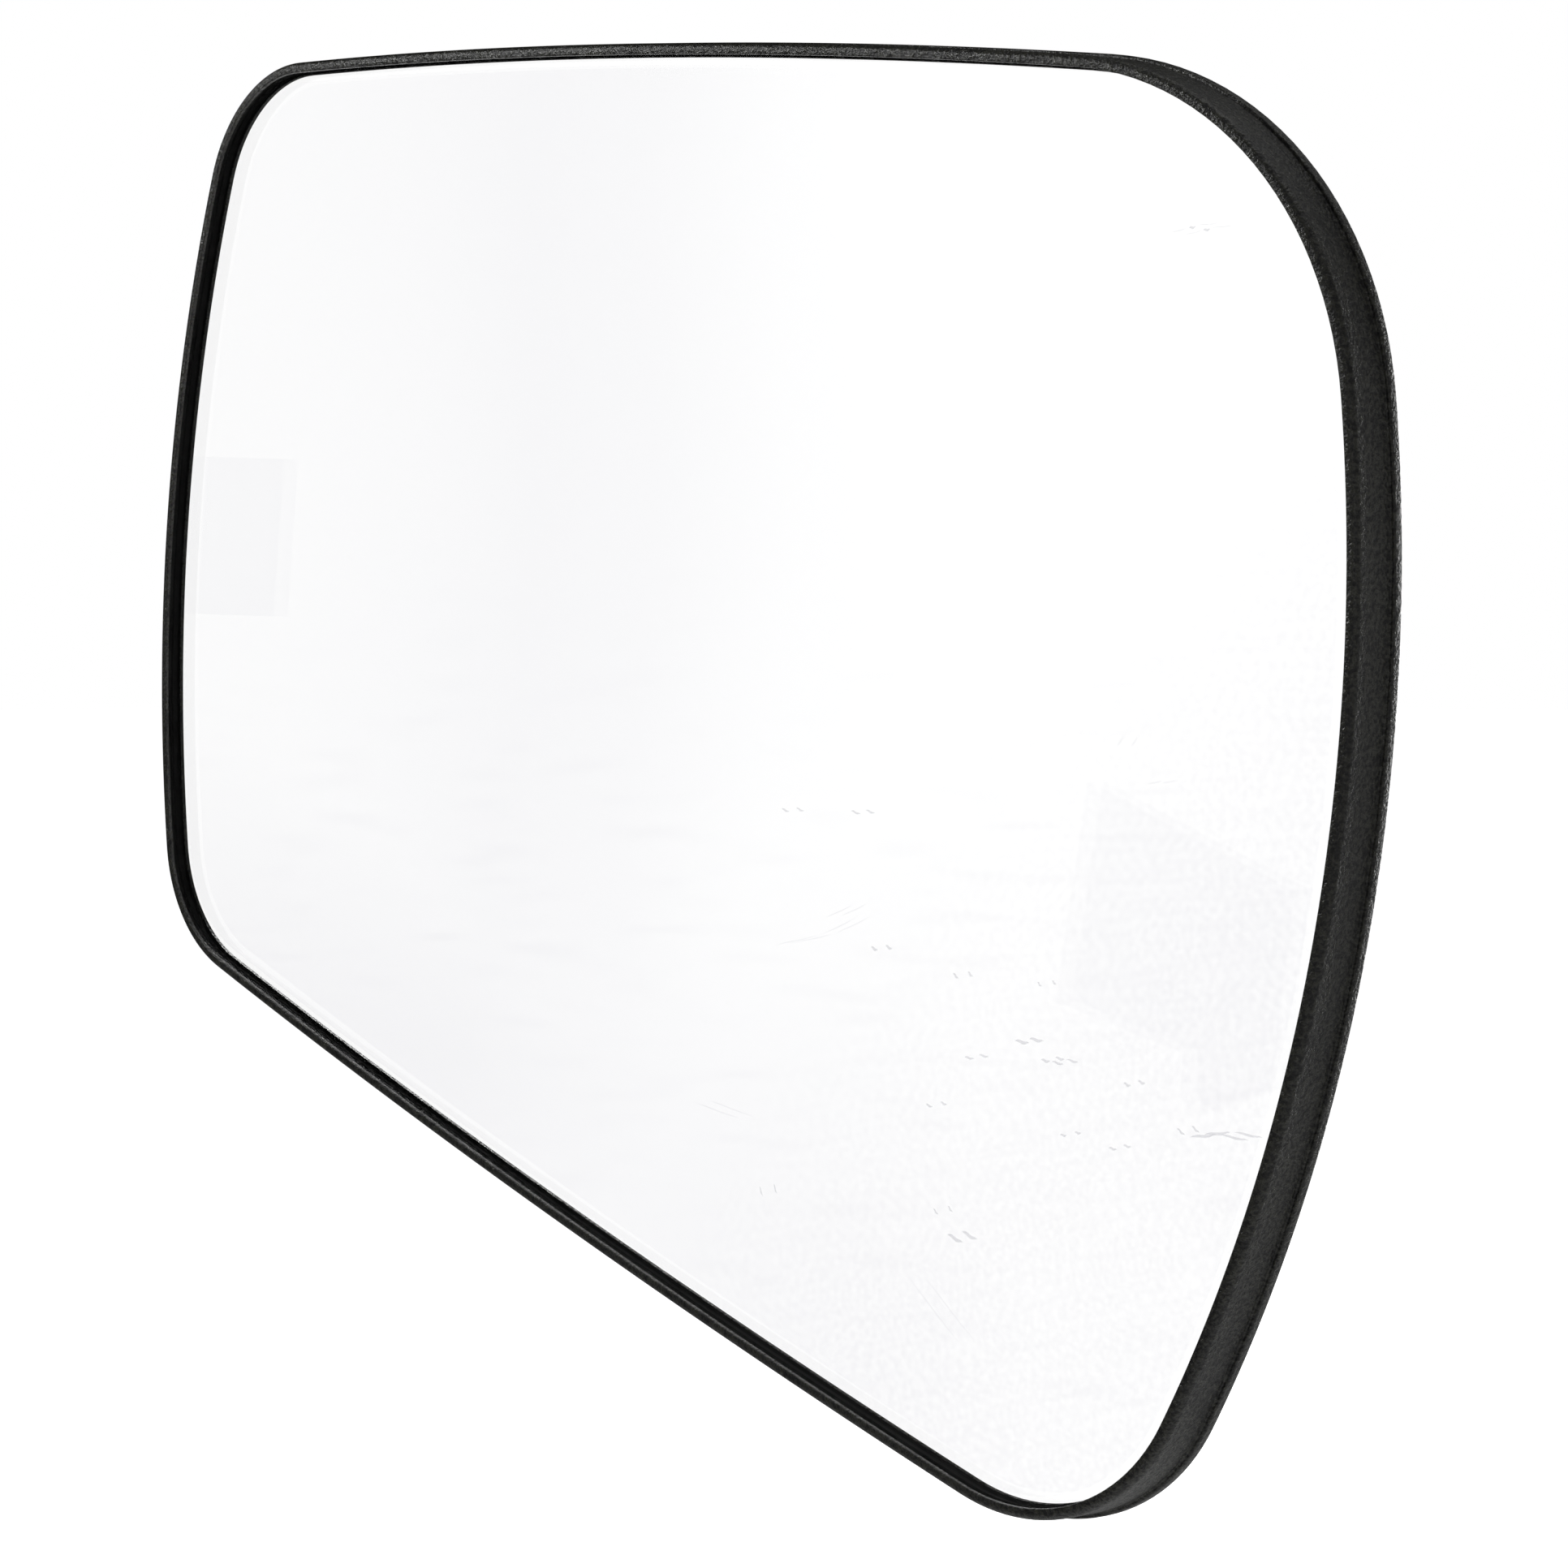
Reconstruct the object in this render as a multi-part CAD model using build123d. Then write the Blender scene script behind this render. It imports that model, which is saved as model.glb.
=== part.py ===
from build123d import *
import os
from math import atan2, degrees

# Door mirror glass: a convex pane held in a one-piece moulded backing plate.
# X runs outboard, Y runs to the rear, Z is up. The glass faces -Y.
# The origin is the centre of the flat seat inside the snap ring on the back.

# Sight line: the outline of the glass that shows inside the lip
top_inboard = (-84.0, 73.1)
top_outboard = (83.7, 58.2)
bottom_outboard = (55.8, -93.0)
bottom_inboard = (-95.8, -32.4)
top_bulge = 2.8
outboard_bulge = 18.6
bottom_bulge = 0.8
inboard_bulge = 6.3
top_inboard_radius = 16.2
top_outboard_radius = 39.8
bottom_outboard_radius = 22.5
bottom_inboard_radius = 16.3

# Glass pane and the pad that bonds it
glass_curve_radius = 1400.0
glass_thickness = 2.0
glass_edge_chamfer = 0.3
pad_thickness = 0.6
pad_inset = 3.0

# Backing plate
lip_overlap = 0.4
lip_height = 0.5
lip_outer_round = 0.8
glass_edge_clearance = 0.1
skirt_wall = 0.8
skirt_depth = 6.7
flange_width = 0.5
flange_thickness = 1.3
floor_thickness = 2.0

# Snap ring and its seat
seat_height = 0.6
ring_bore_diameter = 62.0
ring_wall = 2.2
ring_height = 9.0
ring_lead_in = 0.6
tongue_count = 8
tongue_slot_width = 2.0
tongue_slot_depth = 6.0
index_slot_width = 5.0
window_width = 6.5
window_height = 3.0
window_to_mouth = 2.2

# Ribs on the back
rib_count = 8
rib_thickness = 1.4
rib_height = 1.5
hoop_radius = 52.0
gusset_length = 13.0
gusset_height = 3.0

# Protective film and its two tape tabs
cling_gap = 0.02
film_thickness = 0.08
film_inset = 2.8
tape_thickness = 0.08
inboard_tab_size = (21.5, 19.7)
inboard_tab_height = 16.2
outboard_tab_size = (28.3, 22.0)
outboard_tab_inset = 18.4
outboard_tab_height = -27.7
outboard_tab_turn = -16.0
outboard_tab_fold = 10.0

# Places worked out from the sizes above
floor_back = -seat_height
glass_front = floor_back - floor_thickness - pad_thickness - glass_thickness
curve_centre = glass_front + glass_curve_radius
front_radius = glass_curve_radius + lip_height
back_radius = front_radius - skirt_depth
film_radius = glass_curve_radius + cling_gap + film_thickness
tape_radius = film_radius + cling_gap + tape_thickness
floor_front_radius = glass_curve_radius - glass_thickness - pad_thickness
floor_back_radius = floor_front_radius - floor_thickness
ring_radius = ring_bore_diameter / 2
ring_outer_radius = ring_radius + ring_wall
pocket_offset = lip_overlap + glass_edge_clearance
skirt_offset = pocket_offset + skirt_wall
corners = [Vector(*point) for point in (top_inboard, bottom_inboard, bottom_outboard, top_outboard)]
bulges = [inboard_bulge, bottom_bulge, outboard_bulge, top_bulge]
corner_radii = [top_inboard_radius, bottom_inboard_radius, bottom_outboard_radius, top_outboard_radius]
reach = 2 * max(corner.length for corner in corners)


def outline(grow=0.0):
    """The four bulged sides with rounded corners, grown outwards from the sight line."""
    discs = []
    for start, end, bulge in zip(corners, corners[1:] + corners[:1], bulges):
        chord = end - start
        radius = (chord.length ** 2 / 4 + bulge ** 2) / (2 * bulge)
        inward = chord.rotate(Axis.Z, 90).normalized()
        centre = (start + end) / 2 + inward * (radius - bulge)
        seam_turn = degrees(atan2(inward.Y, inward.X))
        discs.append(Pos(centre) * Rot(0, 0, seam_turn) * Circle(radius + grow))
    face = discs[0] & discs[1] & discs[2] & discs[3]
    for corner, radius in zip(corners, corner_radii):
        vertex = face.vertices().sort_by_distance(corner)[0]
        face = fillet(vertex, radius + grow)
    return face


def prism(face, low=-reach / 2, high=reach / 2):
    """A sketch in the X and Z directions, made solid from one Y to another."""
    return extrude(Plane.XZ.offset(-high) * face, high - low)


def ball(radius):
    """The sphere of one layer. All layers share the glass's centre of curvature."""
    return Pos(0, curve_centre, 0) * Sphere(radius)


def layer(face, outer_radius, inner_radius):
    """A curved sheet of one outline between two of the layers' spheres."""
    return prism(face) & ball(outer_radius) - ball(inner_radius)


def on_sphere(edge, radius):
    """True for an edge that lies on the sphere of one layer."""
    middle = edge.position_at(0.5)
    return abs((middle - Vector(0, curve_centre, 0)).length - radius) < 0.001


def mirror_glass():
    """The convex pane, its edge ground to a small chamfer on both sides."""
    back = glass_curve_radius - glass_thickness
    pane = layer(outline(lip_overlap), glass_curve_radius, back)
    rims = [e for e in pane.edges() if on_sphere(e, glass_curve_radius) or on_sphere(e, back)]
    return chamfer(rims, glass_edge_chamfer)


def adhesive_pad():
    """The foam pad that bonds the pane to the floor of the plate."""
    front = glass_curve_radius - glass_thickness
    return layer(outline(lip_overlap - pad_inset), front, floor_front_radius)


def rim_and_floor():
    """The lip, the skirt with its rear flange, and the curved floor."""
    shell = layer(outline(skirt_offset), front_radius, back_radius)
    shell = fillet([e for e in shell.edges() if on_sphere(e, front_radius)], lip_outer_round)
    shell += layer(outline(skirt_offset + flange_width), back_radius + flange_thickness, back_radius)
    sight = layer(outline(), front_radius + 1, glass_curve_radius)
    pocket = layer(outline(pocket_offset), glass_curve_radius, floor_front_radius)
    recess = layer(outline(pocket_offset), floor_back_radius, back_radius - 1)
    return shell - sight - pocket - recess


def rib_pattern():
    """Low radial ribs and one hoop, as high as one layer behind the floor."""
    bars = Sketch()
    for i in range(rib_count):
        turn = Rot(0, 0, (i + 0.5) * 360 / rib_count)
        bars += turn * Pos(ring_radius + reach / 2, 0) * Rectangle(reach, rib_thickness)
    hoop = Circle(hoop_radius + rib_thickness / 2) - Circle(hoop_radius - rib_thickness / 2)
    pattern = (bars + hoop) & outline(pocket_offset + skirt_wall / 2)
    pattern -= Circle(ring_radius + ring_wall / 2)
    return layer(pattern, floor_back_radius + floor_thickness / 2, floor_back_radius - rib_height)


def gussets():
    """Triangles that brace the snap ring on each radial rib."""
    root = floor_back - floor_thickness / 2
    start = ring_radius + ring_wall / 2
    foot = ring_outer_radius + gusset_length
    triangle = make_face(Polyline((start, root), (foot, root), (foot, floor_back + rib_height),
                                  (ring_outer_radius, gusset_height), (start, gusset_height), close=True))
    web = extrude(triangle, rib_thickness / 2, both=True)
    braces = Part()
    for i in range(rib_count):
        braces += Rot(0, (i + 0.5) * 360 / rib_count, 0) * web
    return braces


def snap_ring():
    """The ring that takes the adjuster's round head: sprung tongues and four windows."""
    tube = prism(Circle(ring_outer_radius), floor_back - floor_thickness / 2, ring_height)
    tube -= prism(Circle(ring_radius), 0, ring_height)
    mouth = tube.edges().filter_by(GeomType.CIRCLE).sort_by(Axis.Y)[-2:]
    tube = chamfer(mouth.sort_by(SortBy.RADIUS)[0], ring_lead_in)
    for i in range(tongue_count):
        width = index_slot_width if i == 0 else tongue_slot_width
        slot = Pos(0, ring_height - tongue_slot_depth / 2, ring_radius + ring_wall / 2)
        slot *= Box(width, tongue_slot_depth, ring_wall * 2)
        tube -= Rot(0, i * 360 / tongue_count, 0) * slot
    window_middle = ring_height - window_to_mouth - window_height / 2
    for i in range(tongue_count // 2):
        window = Pos(0, window_middle, ring_radius + ring_wall / 2)
        window *= Box(window_width, window_height, ring_wall * 2)
        tube -= Rot(0, (2 * i + 0.5) * 360 / tongue_count, 0) * window
    return tube


def backing_plate():
    """The whole moulding in one piece."""
    return rim_and_floor() + rib_pattern() + gussets() + snap_ring()


def protective_film():
    """The thin clear film that clings to the glass, cut a little inside the lip."""
    return layer(outline(-film_inset), film_radius, film_radius - film_thickness)


def inboard_tab():
    """A short strip of tape at the inboard edge, level with the film's edge."""
    width, height = inboard_tab_size
    film = outline(-film_inset)
    strip = Pos(film.bounding_box().min.X + width / 2, inboard_tab_height) * Rectangle(width, height)
    return layer(strip & film, tape_radius, tape_radius - tape_thickness)


def outboard_tab():
    """A slanted strip of tape near the outboard edge, its outer end folded double."""
    width, height = outboard_tab_size
    film = outline(-film_inset)
    middle = film.bounding_box().max.X - outboard_tab_inset
    turned = Pos(middle, outboard_tab_height) * Rot(0, 0, outboard_tab_turn)
    doubled = turned * Pos((width - outboard_tab_fold) / 2, 0) * Rectangle(outboard_tab_fold, height)
    strip = layer(turned * Rectangle(width, height) & film, tape_radius, tape_radius - tape_thickness)
    return strip + layer(doubled & film, tape_radius + tape_thickness, tape_radius - tape_thickness / 2)


pieces = {
    "mirror_glass": mirror_glass(),
    "adhesive_pad": adhesive_pad(),
    "backing_plate": backing_plate(),
    "protective_film": protective_film(),
    "inboard_tab": inboard_tab(),
    "outboard_tab": outboard_tab(),
}

os.makedirs("parts", exist_ok=True)
for node, shape in pieces.items():
    export_step(shape, f"parts/{node}.step")
    print(node, len(shape.solids()), round(shape.volume / 1000, 3), "cm3")
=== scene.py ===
import math
import bmesh
import bpy
import numpy as np
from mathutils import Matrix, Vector


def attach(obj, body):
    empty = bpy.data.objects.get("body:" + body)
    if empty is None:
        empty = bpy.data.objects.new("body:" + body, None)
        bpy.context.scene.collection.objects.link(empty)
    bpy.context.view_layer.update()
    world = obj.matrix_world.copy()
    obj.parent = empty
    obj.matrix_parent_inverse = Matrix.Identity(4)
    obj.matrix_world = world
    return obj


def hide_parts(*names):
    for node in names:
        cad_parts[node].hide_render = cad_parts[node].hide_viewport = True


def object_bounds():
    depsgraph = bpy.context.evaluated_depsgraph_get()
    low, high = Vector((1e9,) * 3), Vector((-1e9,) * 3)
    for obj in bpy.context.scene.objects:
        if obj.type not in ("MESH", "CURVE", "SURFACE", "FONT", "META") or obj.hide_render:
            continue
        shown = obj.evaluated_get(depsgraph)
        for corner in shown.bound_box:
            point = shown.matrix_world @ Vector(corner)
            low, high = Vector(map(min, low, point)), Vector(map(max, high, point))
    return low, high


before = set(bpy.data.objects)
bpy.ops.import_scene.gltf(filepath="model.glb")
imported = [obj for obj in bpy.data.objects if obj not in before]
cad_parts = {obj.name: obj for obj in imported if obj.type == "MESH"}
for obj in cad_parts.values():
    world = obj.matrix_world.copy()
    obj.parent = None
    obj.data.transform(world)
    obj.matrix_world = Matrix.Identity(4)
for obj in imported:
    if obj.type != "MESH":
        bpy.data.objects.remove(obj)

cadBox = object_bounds()
mm = 0.001


# Small helpers: colours, nodes and meshes
def colour(hexCode):
    parts = [int(hexCode[i:i + 2], 16) / 255 for i in (1, 3, 5)]
    return tuple(c / 12.92 if c <= 0.04045 else ((c + 0.055) / 1.055) ** 2.4 for c in parts) + (1.0,)


def grey(value, blue=0.0):
    # a linear grey, for how much light a clear sheet passes, with a little more blue where asked
    return (value, value, min(1.0, value + blue), 1.0)


def addNode(tree, kind, inputs=None, **settings):
    node = tree.nodes.new(kind)
    for key, value in settings.items():
        setattr(node, key, value)
    for key, value in (inputs or {}).items():
        if isinstance(value, bpy.types.NodeSocket):
            tree.links.new(value, node.inputs[key])
        else:
            node.inputs[key].default_value = value
    return node


def mathNode(tree, operation, *values):
    return addNode(tree, "ShaderNodeMath", dict(enumerate(values)), operation=operation).outputs[0]


def mapRange(tree, value, fromSpan, toSpan=(0.0, 1.0)):
    return addNode(tree, "ShaderNodeMapRange", {
        "Value": value, "From Min": fromSpan[0], "From Max": fromSpan[1],
        "To Min": toSpan[0], "To Max": toSpan[1]}).outputs["Result"]


def noise(tree, place, scale, detail, **more):
    inputs = {"Vector": place, "Scale": scale, "Detail": detail, **more}
    return addNode(tree, "ShaderNodeTexNoise", inputs).outputs["Fac"]


def objectPlace(tree):
    return addNode(tree, "ShaderNodeTexCoord").outputs["Object"]


def bumpNode(tree, height, strength, distance):
    inputs = {"Strength": strength, "Distance": distance, "Height": height}
    return addNode(tree, "ShaderNodeBump", inputs).outputs["Normal"]


def newMaterial(name):
    material = bpy.data.materials.new(name)
    material.use_nodes = True
    material.node_tree.nodes.clear()
    return material, material.node_tree


def closeMaterial(tree, shader):
    addNode(tree, "ShaderNodeOutputMaterial", {"Surface": shader})


def meshObject(name, points, faces, materials, slots=None, smoothAngle=35):
    # a closed mesh from points in mm, its faces turned outwards
    mesh = bpy.data.meshes.new(name)
    mesh.from_pydata([(x * mm, y * mm, z * mm) for x, y, z in points], [], faces)
    for material in materials:
        mesh.materials.append(material)
    if slots is not None:
        mesh.polygons.foreach_set("material_index", slots)
    mesh.validate()
    tidy = bmesh.new()
    tidy.from_mesh(mesh)
    bmesh.ops.delete(tidy, geom=[v for v in tidy.verts if not v.link_faces], context="VERTS")
    bmesh.ops.recalc_face_normals(tidy, faces=tidy.faces)
    tidy.to_mesh(mesh)
    tidy.free()
    mesh.shade_smooth()
    mesh.set_sharp_from_angle(angle=math.radians(smoothAngle))
    piece = bpy.data.objects.new(name, mesh)
    bpy.context.scene.collection.objects.link(piece)
    return piece


# The sight line of the glass, in mm: four bulged sides and their rounded corners
sightLine = {
    "corners": [(-84.0, 73.1), (-95.8, -32.4), (55.8, -93.0), (83.7, 58.2)],
    "bulges": [6.3, 0.8, 18.6, 2.8],
    "radii": [16.2, 16.3, 22.5, 39.8],
    "cornerSteps": 26,
    "sideSteps": 60,
}
# The glass's curve, and the rings of every curved sheet as shares of the way out from its middle
dome = {"radius": 1400.0, "front": -5.2}
sheetShares = [0.03, 0.08, 0.15] + [0.15 + 0.85 * k / 18 for k in range(1, 18)]


def outline(grow=0.0):
    # points on the sight line grown outwards, anticlockwise seen from the front
    corners = [np.array(c) for c in sightLine["corners"]]
    centres, sideRadii, cornerCentres, points = [], [], [], []
    for i in range(4):
        chord = corners[(i + 1) % 4] - corners[i]
        length = np.linalg.norm(chord)
        bulge = sightLine["bulges"][i]
        radius = (length ** 2 / 4 + bulge ** 2) / (2 * bulge)
        inward = np.array([-chord[1], chord[0]]) / length
        centres.append((corners[i] + corners[(i + 1) % 4]) / 2 + inward * (radius - bulge))
        sideRadii.append(radius)
    for i in range(4):
        r1 = sideRadii[i - 1] - sightLine["radii"][i]
        r2 = sideRadii[i] - sightLine["radii"][i]
        gap = centres[i] - centres[i - 1]
        length = np.linalg.norm(gap)
        along = (r1 * r1 - r2 * r2 + length ** 2) / (2 * length)
        across = math.sqrt(r1 * r1 - along * along)
        foot = centres[i - 1] + gap / length * along
        side = np.array([-gap[1], gap[0]]) / length
        options = [foot + side * across, foot - side * across]
        cornerCentres.append(min(options, key=lambda p: np.linalg.norm(p - corners[i])))

    def addArc(centre, radius, start, end, steps):
        a0, a1 = math.atan2(start[1], start[0]), math.atan2(end[1], end[0])
        if a1 < a0:
            a1 += 2 * math.pi
        for k in range(steps):
            a = a0 + (a1 - a0) * k / steps
            reach = radius + grow
            points.append((centre[0] + reach * math.cos(a), centre[1] + reach * math.sin(a)))

    for i in range(4):
        c, after = cornerCentres[i], cornerCentres[(i + 1) % 4]
        addArc(c, sightLine["radii"][i], c - centres[i - 1], c - centres[i], sightLine["cornerSteps"])
        addArc(centres[i], sideRadii[i], c - centres[i], after - centres[i], sightLine["sideSteps"])
    return np.array(points)


def onDome(x, z, level):
    # height in Y of a point that lies a level in front of the glass's front face
    reach = dome["radius"] + level
    return dome["front"] + dome["radius"] - math.sqrt(reach * reach - x * x - z * z)


def domePoints(flat, level):
    return [(x, onDome(x, z, level), z) for x, z in flat]


def inwardRings(grow, level, shares):
    # rings that shrink from the outline at this growth to the middle
    edge = outline(grow)
    middle = edge.mean(axis=0)
    return [domePoints(middle + share * (edge - middle), level) for share in shares], middle


def closedSheet(rim):
    # a curved sheet whose rim is a list of (growth, level), from its front edge to its back edge
    (frontGrow, frontLevel), (backGrow, backLevel) = rim[0], rim[-1]
    rings, middle = inwardRings(frontGrow, frontLevel, sheetShares)
    rings += [domePoints(outline(grow), level) for grow, level in rim]
    rings += inwardRings(backGrow, backLevel, sheetShares[::-1])[0]
    count = len(rings[0])
    points = [p for ring in rings for p in ring]
    faces = []
    for r in range(len(rings) - 1):
        for i in range(count):
            j = (i + 1) % count
            faces.append((r * count + i, r * count + j, (r + 1) * count + j, (r + 1) * count + i))
    frontPole, backPole = len(points), len(points) + 1
    points += domePoints([middle], frontLevel) + domePoints([middle], backLevel)
    last = (len(rings) - 1) * count
    for i in range(count):
        j = (i + 1) % count
        faces.append((frontPole, j, i))
        faces.append((backPole, last + i, last + j))
    return points, faces, count


def arcSteps(centre, radius, startDeg, endDeg, steps):
    turns = [math.radians(startDeg + (endDeg - startDeg) * k / steps) for k in range(steps + 1)]
    return [(centre[0] + radius * math.cos(a), centre[1] + radius * math.sin(a)) for a in turns]


# Black polypropylene, injection moulded in a finely sparked tool: soft sheen, speckled by its grain
plastic = {
    "grainScale": 2200.0, "grainDetail": 3.0, "grainRoughness": 0.6,  # grain of about 0.45 mm
    "flowScale": 90.0, "flowDetail": 2.0, "flowShare": (0.44, 0.56),
    "tones": [(0.21, "#000000"), (0.3, "#36362F")],
    "sheenFrom": (0.38, 0.62), "sheen": (0.44, 0.24), "relief": 0.0002, "index": 1.49,
}


def mouldedPlastic():
    material, tree = newMaterial("blackMouldedPolypropylene")
    p, place = plastic, objectPlace(tree)
    grain = noise(tree, place, p["grainScale"], p["grainDetail"], Roughness=p["grainRoughness"])
    flow = noise(tree, place, p["flowScale"], p["flowDetail"])
    mixed = mathNode(tree, "MULTIPLY", grain, mapRange(tree, flow, (0.0, 1.0), p["flowShare"]))
    tint = addNode(tree, "ShaderNodeValToRGB", {"Fac": mixed})
    for element, (spot, code) in zip(tint.color_ramp.elements, p["tones"]):
        element.position, element.color = spot, colour(code)
    skin = addNode(tree, "ShaderNodeBsdfPrincipled", {
        "Base Color": tint.outputs["Color"], "IOR": p["index"],
        "Roughness": mapRange(tree, grain, p["sheenFrom"], p["sheen"]),
        "Normal": bumpNode(tree, grain, 1.0, p["relief"])})
    closeMaterial(tree, skin.outputs[0])
    return material


plasticSkin = mouldedPlastic()
print("plastic made")

# The pane: 2 mm float glass with ground edges, silvered on its back
pane = {
    "thickness": 2.0, "overlap": 0.4, "edge": 0.3, "smoothAngle": 25, "index": 1.52,
    "gritScale": 6000.0, "gritStrength": 0.4, "gritRelief": 0.00003, "edgeRoughness": 0.85, "edgeGloss": 0.2,
}


def floatGlass():
    # clear soda-lime float glass: colourless over 2 mm, polished, bends the view of the silvering behind it
    material, tree = newMaterial("clearFloatGlass")
    body = addNode(tree, "ShaderNodeBsdfPrincipled", {
        "Base Color": colour("#FFFFFF"), "Roughness": 0.0, "IOR": pane["index"], "Transmission Weight": 1.0})
    closeMaterial(tree, body.outputs[0])
    return material


def silvering():
    # silver coating on the back of the pane: bright neutral mirror
    material, tree = newMaterial("mirrorSilvering")
    coat = addNode(tree, "ShaderNodeBsdfPrincipled", {
        "Base Color": colour("#FCFCFC"), "Metallic": 1.0, "Roughness": 0.0})
    closeMaterial(tree, coat.outputs[0])
    return material


def groundEdgeWithPaintedShade():
    # the pane's edge, ground matt, with painted shade: coloured near black so light inside the glass ends there
    # and the strip under the lip reads dark
    material, tree = newMaterial("groundGlassEdgePaintedShade")
    grit = noise(tree, objectPlace(tree), pane["gritScale"], 2.0)
    body = addNode(tree, "ShaderNodeBsdfPrincipled", {
        # painted shade: the edge's near-black colour stands in for the shade under the lip
        "Base Color": colour("#050605"), "Roughness": pane["edgeRoughness"], "IOR": pane["index"],
        "Specular IOR Level": pane["edgeGloss"],
        "Normal": bumpNode(tree, grit, pane["gritStrength"], pane["gritRelief"])})
    closeMaterial(tree, body.outputs[0])
    return material


def makePane():
    t, g, e = pane["thickness"], pane["overlap"], pane["edge"]
    rim = [(g - e, 0.0), (g, -e), (g, -(t - e)), (g - e, -t)]
    points, faces, count = closedSheet(rim)
    edgeFrom = len(sheetShares) * count
    backFrom = edgeFrom + (len(rim) - 1) * count
    frontPole = len(points) - 2
    slots = []
    for face in faces:
        onBack = all(v >= backFrom and v != frontPole for v in face)
        onEdge = all(edgeFrom <= v < backFrom + count for v in face)
        slots.append(2 if onEdge else 1 if onBack else 0)
    skins = [floatGlass(), silvering(), groundEdgeWithPaintedShade()]
    return meshObject("mirrorPane", points, faces, skins, slots, pane["smoothAngle"])


mirrorPane = makePane()
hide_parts("mirror_glass")
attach(mirrorPane, "root")
print("pane made")

# The foam pad that bonds the pane to the plate
pad = {"inset": 3.0, "front": -2.02, "back": -2.58, "cellScale": 2000.0, "pitStrength": 0.5, "pitDepth": 0.0001}


def foamRubber():
    # closed-cell foam with glue on both sides: dull, pitted at about 0.5 mm
    material, tree = newMaterial("closedCellFoam")
    cells = addNode(tree, "ShaderNodeTexVoronoi", {"Vector": objectPlace(tree), "Scale": pad["cellScale"]})
    body = addNode(tree, "ShaderNodeBsdfPrincipled", {
        "Base Color": colour("#26262A"), "Roughness": 0.9,
        "Normal": bumpNode(tree, cells.outputs["Distance"], pad["pitStrength"], pad["pitDepth"])})
    closeMaterial(tree, body.outputs[0])
    return material


def makePad():
    grow = pane["overlap"] - pad["inset"]
    points, faces, _ = closedSheet([(grow, pad["front"]), (grow, pad["back"])])
    return meshObject("foamPad", points, faces, [foamRubber()])


foamPad = makePad()
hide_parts("adhesive_pad")
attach(foamPad, "root")
print("pad made")

# The backing plate: one black moulding
plate = {
    "lipHeight": 0.5, "lipInnerRound": 0.12, "lipGap": 0.02, "faceRun": 0.15, "noseRound": 0.78, "wallRun": 0.6,
    "pocket": 0.5, "skirt": 1.3, "depth": 6.7, "flange": 0.5, "flangeThickness": 1.3, "stepRound": 0.2,
    "edgeRound": 0.25, "floorFront": -2.6, "floorBack": -4.6, "rootRound": 0.5, "smoothAngle": 40,
    "ribs": 8, "ribThickness": 1.4, "ribHeight": 1.5, "ribSink": 1.0, "ribSteps": 90,
    "hoopRadius": 52.0, "hoopDrop": 0.2, "hoopSteps": 144,
    "gussetLength": 13.0, "gussetHeight": 3.0, "gussetFoot": 0.9,
    "bore": 31.0, "wall": 2.2, "ringHeight": 9.0, "leadIn": 0.6, "ringRoot": -1.6, "tongues": 8,
    "slotWidth": 2.0, "slotDepth": 6.0, "indexWidth": 5.0, "columnDeg": 2.5,
    "windowWidth": 6.5, "windowHeight": 3.0, "windowToMouth": 2.2, "seatRings": [0.62, 0.25],
    "softEdge": 0.2, "softSteps": 2, "softAngle": 35,
}


def rimProfile():
    # from the floor's front over the lip, the skirt and the flange to the floor's back
    p = plate
    top, nose, r = p["lipHeight"], p["noseRound"], p["lipInnerRound"]
    bottom = top - p["depth"]
    step = bottom + p["flangeThickness"]
    out = p["skirt"] + p["flange"]
    er, rr, sr = p["edgeRound"], p["rootRound"], p["stepRound"]
    path = [(p["pocket"], p["floorFront"]), (p["pocket"], p["lipGap"]), (0.0, p["lipGap"])]
    path += arcSteps((r, top - r), r, 180, 90, 4)
    path += [(p["skirt"] - nose - p["faceRun"], top)]
    path += arcSteps((p["skirt"] - nose, top - nose), nose, 90, 0, 10)
    path += [(p["skirt"], top - nose - p["wallRun"])]
    path += arcSteps((p["skirt"] + sr, step + sr), sr, 180, 270, 3)
    path += arcSteps((out - er, step - er), er, 90, 0, 4)
    path += arcSteps((out - er, bottom + er), er, 0, -90, 4)
    path += arcSteps((p["pocket"] + er, bottom + er), er, -90, -180, 3)
    path += arcSteps((p["pocket"] - rr, p["floorBack"] - rr), rr, 0, 90, 5)
    return path


def makePlateBody():
    points, faces, _ = closedSheet(rimProfile())
    return meshObject("backingPlate", points, faces, [plasticSkin], None, plate["smoothAngle"])


def ringColumns():
    # each column of the ring's wall: its angle at the bore and at the outside, and what lies after it
    p = plate
    inner, outer = p["bore"], p["bore"] + p["wall"]
    stops = []
    for i in range(p["tongues"]):
        middle = 360 / p["tongues"] * i
        half = (p["indexWidth"] if i == 0 else p["slotWidth"]) / 2
        stops += [(middle, -half, "slot"), (middle, half, "wall")]
        if i % 2 == 0:
            middle += 180 / p["tongues"]
            stops += [(middle, -p["windowWidth"] / 2, "window"), (middle, p["windowWidth"] / 2, "wall")]
    edges = []
    for middle, offset, kind in stops:
        turn = math.radians(middle)
        edges.append((turn + math.asin(offset / inner), turn + math.asin(offset / outer), kind))
    columns = []
    for k, (a, b, kind) in enumerate(edges):
        a2, b2 = edges[(k + 1) % len(edges)][:2]
        if k == len(edges) - 1:
            a2, b2 = a2 + 2 * math.pi, b2 + 2 * math.pi
        steps = max(1, round(math.degrees(a2 - a) / p["columnDeg"]))
        columns += [(a + (a2 - a) * n / steps, b + (b2 - b) * n / steps, kind) for n in range(steps)]
    return columns


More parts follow.
